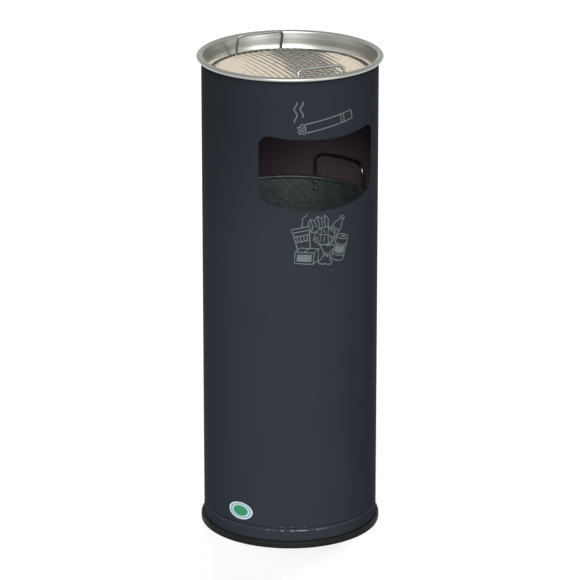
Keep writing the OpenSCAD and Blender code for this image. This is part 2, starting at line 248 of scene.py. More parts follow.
def makeVinylLabel():
    # Printed vinyl label: glossy, a white border, then rings of colour by the share of its own radius
    material, tree, shader = startMaterial("vinylLabel", {"Roughness": 0.35, "Specular IOR Level": 0.5})
    flat = addNode(tree, "UVMap", {}, uv_map="flat").outputs["UV"]
    share = addNode(tree, "VectorMath", {0: flat}, operation="LENGTH")
    ramp = addNode(tree, "ValToRGB", {"Fac": share.outputs["Value"]})
    ramp.color_ramp.interpolation = "CONSTANT"
    setStops(ramp, ((0.0, "#1f8f63"), (0.62, "#eef2ee"), (0.7, "#8dbfd6"), (0.9, "#eef2ee")))
    linkTo(tree, shader, {"Base Color": ramp.outputs["Color"]})
    return material


# Polyester powder coat on steel sheet, sprayed and baked: matt, with a faint orange peel
coat = {"sockets": {"Specular IOR Level": 0.003}, "spread": 70, "skin": (1.5, 2.0, 0.1)}
powderCoat = makeFinish("powderCoat", tones=("#34383f", "#383d44"), gloss=(0.48, 0.58), paintedMarks=coatPaintedLight, **coat)
innerCoat = makeFinish("innerCoat", tones=("#50454d", "#594e56"), gloss=(0.61, 0.71), **coat)
floorCoat = makeFinish("floorCoat", tones=("#303338", "#34373c"), gloss=(0.56, 0.66), **coat)
# Drawn steel wire, zinc plated: bright, with duller patches along it
zinc = {"Metallic": 1.0}
sieveWire = makeFinish("sieveWire", zinc, 6, ("#656763", "#949692"), (0.46, 0.34))
rimWire = makeFinish("rimWire", zinc, 9, ("#4a4b46", "#6a6b65"), (0.54, 0.42))
handleWire = makeFinish("handleWire", zinc, 12, ("#717473", "#979a99"), (0.32, 0.2))
rivetSteel = makeFinish("rivetSteel", zinc, 3, ("#4c514e", "#5f6461"), (0.62, 0.5))
# Extruded soft plastic, black: matt, with slight flow marks round the ring
blackPlastic = makeFinish("blackPlastic", {"Specular IOR Level": 0.04}, 14, ("#1f2020", "#292a2a"),
                          (0.42, 0.58), (1.2, 1.0, 0.15))
# Screen-printed ink: thin, matt, a little uneven where the mesh let less through
screenInk = makeFinish("screenInk", {"Roughness": 0.6, "Specular IOR Level": 0.3}, 5, ("#5c6567", "#7d8687"))
spunAluminium = makeSpunAluminium(rimCrownShade)
quartzSand = makeQuartzSand()
galvanisedSheet = makeGalvanisedSheet()
vinylLabel = makeVinylLabel()
print("materials made")


# Shaping helpers: sizes and places in mm

def arcRun(centre, radius, start, end, count):  # points of an arc, angles in degrees
    turns = [radians(start + (end - start) * i / count) for i in range(count + 1)]
    return [(centre[0] + radius * cos(t), centre[1] + radius * sin(t)) for t in turns]


def closeSeams(bm, near=0.001):  # merges points that meet and turns all faces to one side
    bmesh.ops.remove_doubles(bm, verts=bm.verts, dist=near * mm)
    bmesh.ops.recalc_face_normals(bm, faces=bm.faces)


def spinProfile(points, closed=True, steps=180):  # points are radius and height
    bm = bmesh.new()
    ring = [bm.verts.new((r * mm, 0, z * mm)) for r, z in points]
    pairs = list(zip(ring, ring[1:]))
    if closed:
        pairs.append((ring[-1], ring[0]))
    edges = [bm.edges.new(pair) for pair in pairs]
    bmesh.ops.spin(bm, geom=ring + edges, cent=(0, 0, 0), axis=(0, 0, 1), angle=2 * pi, steps=steps,
                   use_merge=True)
    closeSeams(bm)
    return bm


def sweepWires(paths, radius, sides, closed=False):  # round wires along lists of points
    curve = bpy.data.curves.new("wires", "CURVE")
    curve.dimensions = "3D"
    curve.bevel_depth = radius * mm
    curve.bevel_resolution = (sides - 4) // 2
    curve.use_fill_caps = True
    for path in paths:
        spline = curve.splines.new("POLY")
        spline.points.add(len(path) - 1)
        for point, place in zip(spline.points, path):
            point.co = (place[0] * mm, place[1] * mm, place[2] * mm, 1)
        spline.use_cyclic_u = closed
    holder = addObject("wires", curve)
    mesh = bpy.data.meshes.new_from_object(holder.evaluated_get(bpy.context.evaluated_depsgraph_get()))
    bm = bmesh.new()
    bm.from_mesh(mesh)
    bpy.data.objects.remove(holder)
    bpy.data.curves.remove(curve)
    bpy.data.meshes.remove(mesh)
    closeSeams(bm)
    return bm


def makeBlock(wide, deep, tall):
    bm = bmesh.new()
    bmesh.ops.create_cube(bm, size=1)
    bmesh.ops.transform(bm, verts=bm.verts, matrix=Matrix.Diagonal((wide * mm, deep * mm, tall * mm, 1)))
    return bm


def joinInto(target, source, matrix):  # adds a moved copy of one shape to another
    mesh = bpy.data.meshes.new("copy")
    source.to_mesh(mesh)
    mesh.transform(matrix)
    target.from_mesh(mesh)
    bpy.data.meshes.remove(mesh)


def cutAt(bm, place, normal):
    bmesh.ops.bisect_plane(bm, geom=bm.verts[:] + bm.edges[:] + bm.faces[:], plane_co=place, plane_no=normal)


def cutStrips(bm, step):  # cuts a flat shape into upright strips, so that it can bend
    low = min(v.co.x for v in bm.verts)
    high = max(v.co.x for v in bm.verts)
    count = max(1, round((high - low) / (step * mm)))
    for i in range(1, count):
        cutAt(bm, (low + (high - low) * i / count, 0, 0), (1, 0, 0))


def cutRows(bm, heights):  # cuts a flat shape at heights
    for z in heights:
        cutAt(bm, (0, 0, z * mm), (0, 0, 1))


def faceOutwards(bm):  # turns a bent sheet so that its faces look away from the body's axis
    bm.normal_update()
    face = max(bm.faces, key=lambda f: f.calc_area())
    middle = face.calc_center_median()
    if face.normal.dot(Vector((middle.x, middle.y, 0))) < 0:
        bmesh.ops.reverse_faces(bm, faces=bm.faces)


def addPiece(bm, name, material, body, nodes=(), sharp=38):  # edges past this angle stay sharp
    mesh = bpy.data.meshes.new(name)
    bm.to_mesh(mesh)
    bm.free()
    for finish in material if isinstance(material, list) else [material]:
        mesh.materials.append(finish)
    mesh.polygons.foreach_set("use_smooth", [True] * len(mesh.polygons))
    mesh.set_sharp_from_angle(angle=radians(sharp))
    piece = addObject(name, mesh)
    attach(piece, body)
    if nodes:
        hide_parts(*nodes)


# Body: one sheet with the window cut in it, rolled round and closed at the back
bodyLow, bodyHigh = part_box("body_shell")
bodyRadius = bodyHigh.y
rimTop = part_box("ash_bowl")[1].z / mm
bodySheet = {"thick": 0.8, "strip": 5.2, "edgeRow": 3, "edgeRound": 0.18, "seamHalf": 1.5, "seamDepth": 0.25,
             "beadHeight": 27, "beadRound": 2.7, "beadDepth": 1.6, "beadReach": 3.3, "lipRound": 0.2,
             "beadRows": (0, 0.7, 1.3, 1.8, 2.1, 2.35, 2.6, 2.9, 3.4), "merge": 0.25}
windowCut = {"halfAngle": 43.3, "drop": 88, "height": 99, "topBow": 500, "lowBow": 270, "corner": 15}


def windowEdge(cut, radius, rim):  # right half, from the middle of the lower edge to that of the upper
    corner = cut["corner"]
    side = radius * radians(cut["halfAngle"]) - corner
    top = rim - cut["drop"]
    low = top - cut["height"]
    lowSpan = cut["lowBow"] - corner
    topSpan = cut["topBow"] + corner
    lowTurn = degrees(asin(side / lowSpan))
    topTurn = degrees(asin(side / topSpan))
    lowCorner = (side, low + cut["lowBow"] - sqrt(lowSpan ** 2 - side ** 2))
    topCorner = (side, top + cut["topBow"] - sqrt(topSpan ** 2 - side ** 2))
    return (arcRun((0, low + cut["lowBow"]), cut["lowBow"], -90, lowTurn - 90, 14)
            + arcRun(lowCorner, corner, lowTurn - 90, 0, 10)[1:]
            + arcRun(topCorner, corner, 0, topTurn + 90, 10)
            + arcRun((0, top + cut["topBow"]), cut["topBow"], topTurn - 90, -90, 14)[1:])


def makeBody(sheet):
    radius = bodyRadius / mm
    half = pi * radius
    low, top = bodyLow.z / mm, bodyHigh.z / mm
    outline = [(0, low), (half, low), (half, top), (0, top)]
    outline += reversed(windowEdge(windowCut, radius, rimTop))
    bm = bmesh.new()
    bm.faces.new([bm.verts.new((s * mm, 0, z * mm)) for s, z in outline])
    bmesh.ops.mirror(bm, geom=bm.verts[:] + bm.edges[:] + bm.faces[:], axis="X", merge_dist=0.01 * mm)
    cutStrips(bm, sheet["strip"])
    bead, rows = sheet["beadHeight"], sheet["beadRows"]
    cutRows(bm, [bead - row for row in rows] + [bead + row for row in rows[1:]])
    cutRows(bm, [low + sheet["edgeRow"], top - sheet["edgeRow"]])
    for sign in (-1, 1):
        cutAt(bm, (sign * (half - sheet["seamHalf"]) * mm, 0, 0), (1, 0, 0))
    for vert in bm.verts:  # roll the sheet round, pressing in the bead and the welded seam
        s, z = vert.co.x / mm, vert.co.z / mm
        roller = sqrt(max(0, sheet["beadRound"] ** 2 - (z - bead) ** 2))
        groove = roller - sheet["beadRound"] + sheet["beadDepth"]
        dip = 0.5 * (groove + hypot(groove, sheet["lipRound"])) if abs(z - bead) < sheet["beadReach"] else 0
        dip += sheet["seamDepth"] if half - abs(s) < 0.01 else 0
        turn = s / radius
        vert.co = Vector(((radius - dip) * sin(turn), -(radius - dip) * cos(turn), z)) * mm
    closeSeams(bm, sheet["merge"])
    faceOutwards(bm)
    bmesh.ops.solidify(bm, geom=bm.faces[:], thickness=sheet["thick"] * mm)
    bm.normal_update()
    for face in bm.faces:  # the faces that look inwards get the second coat
        middle = face.calc_center_median()
        face.material_index = int(face.normal.dot(Vector((middle.x, middle.y, 0))) < -0.5 * bodyRadius)
    rims = [e for e in bm.edges if len(e.link_faces) == 2 and e.calc_face_angle() > 1.0]  # cut edges
    bmesh.ops.bevel(bm, geom=rims, offset=sheet["edgeRound"] * mm, segments=1, profile=0.5, material=-1,
                    affect="EDGES", clamp_overlap=True)
    return bm


addPiece(makeBody(bodySheet), "bodyShell", [powderCoat, innerCoat], "body", ["body_shell"])
print("body rolled")


# Foot ring: a black plastic channel pushed over the lower edge of the body
footRing = {"web": 3.5, "bore": 116, "lipRound": 2.6, "grooveRound": 1.3, "footRound": 1.2, "play": 0.05,
            "innerDrop": 1, "innerRound": 0.6, "innerFoot": 0.8}


def makeFootRing(ring):
    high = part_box("foot_ring")[1]
    outer, top = high.y / mm, high.z / mm
    inner, web, play = ring["bore"], ring["web"], ring["play"]
    innerTop, innerRound, innerFoot = top - ring["innerDrop"], ring["innerRound"], ring["innerFoot"]
    sheetOut = bodyRadius / mm + play
    sheetIn = bodyRadius / mm - bodySheet["thick"] - play
    lip, groove, foot = ring["lipRound"], ring["grooveRound"], ring["footRound"]
    points = [(inner, innerFoot), (inner + innerFoot, 0)]
    points += arcRun((outer - foot, foot), foot, -90, 0, 5)
    points += arcRun((outer - lip, top - lip), lip, 0, 90, 8)
    points += arcRun((sheetOut + groove, top - groove), groove, 90, 180, 5)  # a groove along the sheet
    points += [(sheetOut, web), (sheetIn, web), (sheetIn, innerTop)]
    points += [(inner + innerRound, innerTop), (inner, innerTop - innerRound)]
    return spinProfile(points)


addPiece(makeFootRing(footRing), "footRing", blackPlastic, "body", ["foot_ring"])


# Floor plate: a pressed pan that rests on the inside of the bead
floorPan = {"thick": 1.0, "bend": 3.0}


def makeFloorPlate(pan):
    low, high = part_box("floor_plate")
    outer, base, top = high.y / mm, low.z / mm, high.z / mm
    thick, bend = pan["thick"], pan["bend"]
    points = [(0, base)] + arcRun((outer - bend, base + bend), bend, -90, 0, 6)
    points += [(outer, top), (outer - thick, top)]
    points += arcRun((outer - bend, base + bend), bend - thick, 0, -90, 6) + [(0, base + thick)]
    return spinProfile(points, closed=False)


addPiece(makeFloorPlate(floorPan), "floorPlate", floorCoat, "body", ["floor_plate"])
print("foot and floor made")


# Ash bowl: spun from one sheet, its rim rolled over the top edge of the body
ashBowl = {"thick": 1.0, "bore": 117.6, "corner": 22, "rollEnd": -104, "taper": 1.8, "rollTall": 6.2}


def makeAshBowl(bowl):
    low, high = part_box("ash_bowl")
    thick, bore, corner, rollEnd = bowl["thick"], bowl["bore"], bowl["corner"], bowl["rollEnd"]
    roll = (high.y / mm - bore) / 2
    flat = bowl["rollTall"] / (2 * roll)  # the roll is pressed flat
    rollCentre = (bore + roll, high.z / mm - roll * flat)
    base = low.z / mm + thick
    bowl["cornerCentre"] = cornerCentre = (bore - bowl["taper"] - corner, base + corner)
    points = [(0, base)] + arcRun(cornerCentre, corner, -90, 0, 12)
    rolled = arcRun((0, 0), roll, 180, rollEnd, 26) + arcRun((0, 0), roll - thick, rollEnd, 180, 26)
    points += [(rollCentre[0] + r, rollCentre[1] + z * flat) for r, z in rolled]
    points += arcRun(cornerCentre, corner + thick, 0, -90, 12) + [(0, base - thick)]
    return spinProfile(points, closed=False, steps=240)


addPiece(makeAshBowl(ashBowl), "ashBowl", spunAluminium, "bowl", ["ash_bowl"])
print("bowl spun")


# Sieve: a woven mesh bowed up a little, its wire ends turned round a rim wire
rimWireLow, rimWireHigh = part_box("sieve_rim_wire")
sieve = {"turn": 2, "rise": 6, "pitch": 8.5, "meshWire": 1.4, "layer": 0.45, "crimp": 0.2,
         "endGap": 3, "edgeGap": 6, "overShare": 0.8, "hookOver": (150, 118), "hookUnder": (190, 230),
         "handleWidth": 67, "handleBend": 7, "lean": 14,
         "weld": 0.72, "weldLift": 0.4, "weldForm": (1.15, 1, 0.85, 1)}
sieve["rimWire"] = (rimWireHigh.z - rimWireLow.z) / mm
sieve["radius"] = rimWireHigh.y / mm - sieve["rimWire"] / 2
sieve["height"] = (rimWireHigh.z + rimWireLow.z) / 2 / mm


def meshHeight(x, y):  # height of the bowed mesh over a place
    return sieve["height"] + sieve["rise"] * (1 - (x * x + y * y) / sieve["radius"] ** 2)


def meshWire(line, across):  # one mesh wire, crimped over its neighbours and hooked on the rim wire
    pitch, radius, height = sieve["pitch"], sieve["radius"], sieve["height"]
    offset = line * pitch
    reach = sqrt(radius ** 2 - offset ** 2)
    layer = sieve["meshWire"] * (-sieve["layer"] if across else sieve["layer"])
    wrap = sieve["rimWire"] / 2 + sieve["meshWire"] / 2
    # the long wires of one layer end over the rim wire, all others under it
    over = not across and abs(offset) < sieve["overShare"] * radius
    ends = sieve["hookOver"] if over else sieve["hookUnder"]
    steps = int((reach - sieve["endGap"]) / (pitch / 4))
    run = []
    for i in range(-steps, steps + 1):
        t = i * pitch / 4
        crimp = sieve["crimp"] * cos(pi * t / pitch) * (-1 if line % 2 else 1)
        run.append((t, offset, meshHeight(offset, t) + layer + crimp))
    hook = [((radius + r) * reach / radius, (radius + r) * offset / radius, height + z)
            for r, z in arcRun((0, 0), wrap, *ends, 2)]
    run = [(-t, s, z) for t, s, z in reversed(hook)] + run + hook
    return run if across else [(s, t, z) for t, s, z in run]


def makeMesh():
    count = int((sieve["radius"] - sieve["edgeGap"]) / sieve["pitch"])
    wires = [meshWire(line, across) for across in (False, True) for line in range(-count, count + 1)]
    bm = sweepWires(wires, sieve["meshWire"] / 2, 6)
    bmesh.ops.transform(bm, matrix=atAzimuth(sieve["turn"]), verts=bm.verts)
    return bm


def makeRimWire():
    ring = [(sieve["radius"] * cos(t), sieve["radius"] * sin(t), sieve["height"])
            for t in (2 * pi * i / 200 for i in range(200))]
    return sweepWires([ring], sieve["rimWire"] / 2, 12, closed=True)


def makeSieveHandle(node, azimuth):
    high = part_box(node)[1]
    half, bend, lean = sieve["handleWidth"] / 2, sieve["handleBend"], radians(sieve["lean"])
    wire, height = sieve["rimWire"], sieve["height"]
    rise = (high.z / mm - height - wire / 2) / cos(lean)
    foot = sqrt(sieve["radius"] ** 2 - half ** 2)
    corner = (half - bend, rise - bend)
    right = [(half, 0)] + arcRun(corner, bend, 0, 90, 8)
    path = right + [(-x, z) for x, z in reversed(right)]
    places = [(x, -foot + z * sin(lean), height + z * cos(lean)) for x, z in path]
    bm = sweepWires([places], wire / 2, 16)
    for side in (-1, 1):  # a small weld at each foot, over the rim wire
        weld = bmesh.new()
        bmesh.ops.create_icosphere(weld, subdivisions=3, radius=wire * sieve["weld"] * mm)
        spot = Matrix.Translation((side * half * mm, -foot * mm, (height + sieve["weldLift"]) * mm))
        joinInto(bm, weld, spot @ Matrix.Diagonal(sieve["weldForm"]))
        weld.free()
    bmesh.ops.transform(bm, matrix=atAzimuth(azimuth), verts=bm.verts)
    return bm


addPiece(makeMesh(), "sieveMesh", sieveWire, "sieve", ["sieve_mesh"], sharp=80)
addPiece(makeRimWire(), "sieveRimWire", rimWire, "sieve", ["sieve_rim_wire"], sharp=80)
addPiece(makeSieveHandle("sieve_handle_front", sieve["turn"]), "sieveHandleFront", handleWire, "sieve",
         ["sieve_handle_front"], sharp=80)
addPiece(makeSieveHandle("sieve_handle_back", sieve["turn"] + 180), "sieveHandleBack", handleWire, "sieve",
         ["sieve_handle_back"], sharp=80)
print("sieve woven")


# Sand: level with the mesh at both sides, sunk in a strip across it, banked against the bowl
sandBed = {"turn": -22.8, "stripStart": (24, 40), "stripEnd": (46, -56), "stripHalf": 30, "stripEdge": 16,
           "stripDepth": 2.4, "coverLeft": 0.0, "coverRight": 1.2, "coverFar": 1.5, "coverRun": 95,
           "bankSide": 5.0, "bankBack": -5, "bankLevel": -1.5, "bankStart": 104, "bankRun": 14, "rimBlend": 9,
           "lump": 1.0, "lumpSize": 22, "lumpInside": 0.35, "ripple": 0.25, "rippleSize": 5,
           "grit": 0.18, "gritSize": 1.7, "rings": 74, "spokes": 300, "fixedGap": 12, "sides": 8,
           "play": 0.05}


def easeShare(value, start, end):  # 0 to 1 between two values, with soft ends
    share = min(1, max(0, (value - start) / (end - start)))
    return share * share * (3 - 2 * share)


def relief(kind, x, y, layer):  # lumps, ripples or grit, each from its own layer of the noise
    size = sandBed[kind + "Size"]
    return sandBed[kind] * noise.noise(Vector((x / size, y / size, layer)))


def sandHeight(x, y):  # height of the sand over a place
    turn = radians(sandBed["turn"])
    across = x * cos(turn) + y * sin(turn)
    away = -x * sin(turn) + y * cos(turn)
    (x0, y0), (x1, y1) = sandBed["stripStart"], sandBed["stripEnd"]
    offLine = ((away - y0) * (x1 - x0) - (across - x0) * (y1 - y0)) / hypot(x1 - x0, y1 - y0)
    near = sandBed["coverRight"] if offLine > 0 else sandBed["coverLeft"]
    offLine = abs(offLine)
    half, edge = sandBed["stripHalf"], sandBed["stripEdge"]
    sunk = sandBed["stripDepth"] * (1 - easeShare(offLine, half - edge, half + edge))
    cover = near + (sandBed["coverFar"] - near) * easeShare(offLine, half, half + sandBed["coverRun"])
    under = meshHeight(x, y) + cover - sunk
    radius = hypot(x, y)
    angle = atan2(across, -away)
    bank = sieve["height"] + sandBed["bankLevel"] + sandBed["bankBack"] * max(0, -cos(angle)) ** 6
    climb = max(0, (radius - sandBed["bankStart"]) / sandBed["bankRun"])
    bank += sandBed["bankSide"] * sin(angle) ** 2 * climb
    outside = easeShare(radius, sieve["radius"] - sandBed["rimBlend"], sieve["radius"])
    inside = sandBed["lumpInside"]
    lump = relief("lump", x, y, 3.1) * (inside + (1 - inside) * outside)
    level = under * (1 - outside) + bank * outside
    return level + lump + relief("ripple", x, y, 7.7) + relief("grit", x, y, 1.3)


def sandEdge(angle):  # where the sand meets the bowl's round corner: radius, and turn on it in degrees
    centre, corner = ashBowl["cornerCentre"], ashBowl["corner"] - sandBed["play"]
    radius = sieve["radius"]
    for i in range(8):  # a few rounds settle it
        drop = centre[1] - sandHeight(radius * cos(angle), radius * sin(angle))
        radius = centre[0] + sqrt(corner ** 2 - min(drop, corner - 1) ** 2)
    return radius, -degrees(asin(drop / corner))


def makeSand(bed):
    rings, sides, top = bed["rings"], bed["sides"], sieve["height"]
    edge, centre, corner = ashBowl["bore"], ashBowl["cornerCentre"], ashBowl["corner"] - bed["play"]
    points = [(edge * i / rings, top) for i in range(rings + 1)]
    points += [(edge, top - i) for i in range(1, sides + 1)] + [(0, top - sides)]  # a step for each side ring
    bm = spinProfile(points, closed=False, steps=bed["spokes"])
    fixed = sieve["radius"] - bed["fixedGap"]  # inside this radius the rings stay as they are spun
    for vert in bm.verts:
        angle, radius = atan2(vert.co.y, vert.co.x), hypot(vert.co.x, vert.co.y) / mm
        step = top - vert.co.z / mm
        wall, turn = sandEdge(angle) if radius > fixed else (edge, 0)
        if step > 0.5:  # the underside follows the bowl
            along = radians(turn + (-90 - turn) * step / sides)
            radius, z = centre[0] + corner * cos(along), centre[1] + corner * sin(along)
            radius, z = (radius, z) if radius > 0 and vert.co.xy.length > 0 else (0, centre[1] - corner)
        else:
            radius = radius if radius < fixed else fixed + (radius - fixed) * (wall - fixed) / (edge - fixed)
            z = sandHeight(radius * cos(angle), radius * sin(angle))
        vert.co = Vector((radius * cos(angle), radius * sin(angle), z)) * mm
    bmesh.ops.recalc_face_normals(bm, faces=bm.faces)
    return bm


addPiece(makeSand(sandBed), "sandBed", quartzSand, "bowl", ["sand_bed"], sharp=60)
print("sand raked")


# Bucket: galvanised sheet with a wired rim rolled inwards, a set-in bottom and two riveted wire handles
bucketLow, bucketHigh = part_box("bucket_wall")
bucket = {"thick": 0.6, "roll": 2.65, "rollEnd": 285, "bottomBend": 2.5, "play": 0.05, "seamGap": 2,
          "seamAzimuth": 27, "seamWidth": 9, "seamThick": 1.1, "seamRound": 0.4, "seamSink": 0.1,
          "handleAzimuth": 116.6, "handleSpan": 45, "handleWire": 4, "handleBend": 14, "handleFoot": 4,
          "tabWidth": 10, "tabHeight": 24, "tabThick": 1.6, "tabRound": 3, "tabDrop": 3,
          "rivetPitch": 10, "rivetHead": 4.0, "rivetRise": 1.8, "rivetTail": 2.8, "rivetPlay": 0.1}
bucket["radius"] = bucketHigh.y / mm
bucket["low"] = bucketLow.z / mm
bucket["top"] = bucketHigh.z / mm


def makeBucketWall():
    radius, low, thick, roll = bucket["radius"], bucket["low"], bucket["thick"], bucket["roll"]
    centre = (radius - roll, bucket["top"] - roll)
    points = [(radius, low)] + arcRun(centre, roll, 0, bucket["rollEnd"], 22)
    points += arcRun(centre, roll - thick, bucket["rollEnd"], 0, 22) + [(radius - thick, low)]
    bm = spinProfile(points)
    length = centre[1] - low - bucket["seamGap"]
    seam = makeBlock(bucket["seamWidth"], bucket["seamThick"], length)  # the lock seam, a folded strip
    bmesh.ops.bevel(seam, geom=seam.edges[:], offset=bucket["seamRound"] * mm, segments=2, profile=0.5,
                    material=-1, affect="EDGES")
    joinInto(bm, seam, atAzimuth(bucket["seamAzimuth"], 0, bucket["seamSink"] - radius, low + length / 2))
    seam.free()
    return bm


def makeBucketBottom():
    low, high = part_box("bucket_bottom")
    outer, thick, bend = high.y / mm, bucket["thick"], bucket["bottomBend"]
    base, top = low.z / mm, high.z / mm
    centre = (outer - bend, top - bend)
    points = [(outer, base)] + arcRun(centre, bend, 0, 90, 6) + [(0, top), (0, top - thick)]
    points += arcRun(centre, bend - thick, 90, 0, 6) + [(outer - thick, base)]
    return spinProfile(points)


def makeBucketHandle(node, azimuth):
    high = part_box(node)[1]
    wire, bend, play = bucket["handleWire"], bucket["handleBend"], bucket["play"]
    wireRadius = bucket["radius"] + wire / 2 + play
    top = high.z / mm - wire / 2
    half = wireRadius * radians(bucket["handleSpan"] / 2)
    foot = bucket["top"] - bucket["tabDrop"]
    right = [(half, foot - bucket["handleFoot"])] + arcRun((half - bend, top - bend), bend, 0, 90, 8)
    bar = [(half - bend - (half - bend) * i / 12, top) for i in range(1, 13)]
    path = right + bar + [(-s, z) for s, z in reversed(right + bar[:-1])]
    places = [(wireRadius * sin(s / wireRadius), -wireRadius * cos(s / wireRadius), z) for s, z in path]
    bm = sweepWires([places], wire / 2, 16)
    tab = makeBlock(bucket["tabWidth"], bucket["tabThick"], bucket["tabHeight"])
    corners = [e for e in tab.edges if abs(e.verts[0].co.y - e.verts[1].co.y) > 0.5 * mm]
    bmesh.ops.bevel(tab, geom=corners, offset=bucket["tabRound"] * mm, segments=5, profile=0.5, material=-1,
                    affect="EDGES")
    seat, middle = bucket["radius"] + play + bucket["tabThick"] / 2, foot - bucket["tabHeight"] / 2
    for side in (-1, 1):
        joinInto(bm, tab, atAzimuth(side * bucket["handleSpan"] / 2, 0, -seat, middle))
    tab.free()
    bmesh.ops.transform(bm, matrix=atAzimuth(azimuth), verts=bm.verts)
    return bm


def rivetHead(radius, rise, seat):  # a domed head over a flat seat
    dome = (radius ** 2 + rise ** 2) / (2 * rise)
    return arcRun((0, seat + rise - dome), dome, 90, 90 - degrees(asin(radius / dome)), 6)


def makeRivets():
    outside, inside = bucket["tabThick"] + bucket["rivetPlay"], bucket["thick"] + bucket["rivetPlay"]
    points = rivetHead(bucket["rivetHead"], bucket["rivetRise"], outside)
    points += [(r, -z) for r, z in reversed(rivetHead(bucket["rivetTail"], bucket["rivetRise"] / 2, inside))]
    rivet = spinProfile(points, closed=False, steps=32)
    bmesh.ops.rotate(rivet, verts=rivet.verts, cent=(0, 0, 0), matrix=Matrix.Rotation(radians(90), 3, "X"))
    bm = bmesh.new()
    middle = bucket["top"] - bucket["tabDrop"] - bucket["tabHeight"] / 2
    for handle in (0, 180):
        for leg in (-1, 1):
            for row in (-1, 1):
                azimuth = bucket["handleAzimuth"] + handle + leg * bucket["handleSpan"] / 2
                height = middle + row * bucket["rivetPitch"] / 2
                joinInto(bm, rivet, atAzimuth(azimuth, 0, -bucket["radius"], height))
    rivet.free()
    return bm


addPiece(makeBucketWall(), "bucketWall", galvanisedSheet, "bucket",
         ["bucket_wall", "bucket_rim_wire"])
addPiece(makeBucketBottom(), "bucketBottom", galvanisedSheet, "bucket", ["bucket_bottom"])
addPiece(makeBucketHandle("bucket_handle_right", bucket["handleAzimuth"]), "bucketHandleRight",
         handleWire, "bucket", ["bucket_handle_right"])
addPiece(makeBucketHandle("bucket_handle_left", bucket["handleAzimuth"] + 180), "bucketHandleLeft",
         handleWire, "bucket", ["bucket_handle_left"])
addPiece(makeRivets(), "bucketRivets", rivetSteel, "bucket", ["bucket_rivets"])
print("bucket made")


# Prints: line drawings laid flat, then bent round the body

def bendRound(bm, azimuth, height, proud):  # flat x becomes the run round the body, and -y stands out from it
    radius = bodyRadius / mm + proud
    for vert in bm.verts:
        turn = vert.co.x / mm / radius + radians(azimuth)
        reach = (radius - vert.co.y / mm) * mm
        vert.co = Vector((reach * sin(turn), -reach * cos(turn), vert.co.z + height * mm))
    bmesh.ops.recalc_face_normals(bm, faces=bm.faces)


def raiseSheet(bm, thick):  # makes a flat shape a thin plate that stands out towards -y
    raised = bmesh.ops.extrude_face_region(bm, geom=bm.faces[:])["geom"]
    top = [v for v in raised if isinstance(v, bmesh.types.BMVert)]
    bmesh.ops.translate(bm, verts=top, vec=(0, -thick * mm, 0))


def drawLine(bm, points, width, closed=False):  # a flat ribbon of ink along a line
    if hypot(points[0][0] - points[-1][0], points[0][1] - points[-1][1]) < 0.01:
        points, closed = points[:-1], True
    count = len(points)
    sides = ([], [])
    for i, (x, z) in enumerate(points):
        before = points[i - 1] if i or closed else points[i]
        after = points[(i + 1) % count] if i + 1 < count or closed else points[i]
        run = Vector((after[0] - before[0], after[1] - before[1])).normalized()
        for side, sign in zip(sides, (-0.5, 0.5)):
            side.append(bm.verts.new(((x - run.y * width * sign) * mm, 0, (z + run.x * width * sign) * mm)))
    edges = []
    for side in sides:
        pairs = list(zip(side, side[1:])) + ([(side[-1], side[0])] if closed else [])
        edges += [bm.edges.new(pair) for pair in pairs]
    bmesh.ops.bridge_loops(bm, edges=edges)


def fillShape(bm, points):  # a flat patch of ink
    bm.faces.new([bm.verts.new((x * mm, 0, z * mm)) for x, z in points])


def smoothLoop(points, steps=5):  # a smooth closed run through a few points
    run = []
    count = len(points)
    for i in range(count):
        a, b, c, d = (points[(i + k) % count] for k in (-1, 0, 1, 2))
        for j in range(steps):
            t = j / steps
            run.append(tuple(0.5 * (2 * q + (r - p) * t + (2 * p - 5 * q + 4 * r - s) * t * t
                                    + (3 * q - p - 3 * r + s) * t ** 3) for p, q, r, s in zip(a, b, c, d)))
    return run


def ovalRun(centre, wide, tall, start=0, end=360, count=24):  # points of an oval, angles in degrees
    return [(centre[0] + wide * x, centre[1] + tall * z) for x, z in arcRun((0, 0), 1, start, end, count)]


def placed(points, turn, x=0, z=0):  # points turned and then moved
    c, s = cos(radians(turn)), sin(radians(turn))
    return [(px * c - pz * s + x, px * s + pz * c + z) for px, pz in points]


inkPrint = {"thick": 0.08, "proud": 0.02, "strip": 3.0, "probe": 0.6}
smokePrint = {"azimuth": -1.5, "height": 613, "width": 1.5, "tilt": 10, "sway": 2.0, "wave": 17,
              "threads": [(-37, -6, 29), (-29, 1, 22)]}  # each thread's place, foot and rise
litterPrint = {"azimuth": -2.5, "height": 441, "width": 1.25}


def finishPrint(bm, azimuth, height):
    cutStrips(bm, inkPrint["strip"])
    raiseSheet(bm, inkPrint["thick"])
    bendRound(bm, azimuth, height, inkPrint["proud"])
    return bm


def insideOf(place, loop):  # whether a place lies inside a closed outline
    x, z = place
    inside = False
    for (ax, az), (bx, bz) in zip(loop, loop[1:] + loop[:1]):
        if (az > z) != (bz > z) and x < (bx - ax) * (z - az) / (bz - az) + ax:
            inside = not inside
    return inside


def visibleRuns(points, covers):  # the stretches of a line that no outline in front of it covers
    runs, run, last = [], [], None
    for (ax, az), (bx, bz) in zip(points, points[1:]):
        count = max(1, round(hypot(bx - ax, bz - az) / inkPrint["probe"]))
        for i in range(count + 1):
            place = (ax + (bx - ax) * i / count, az + (bz - az) * i / count)
            if any(insideOf(place, cover) for cover in covers):
                runs.append(run if last in run else run + [last])
                run = []
            elif not run or i == count:
                run.append(place)
            last = place
    return [run for run in runs + [run] if len(run) > 1]


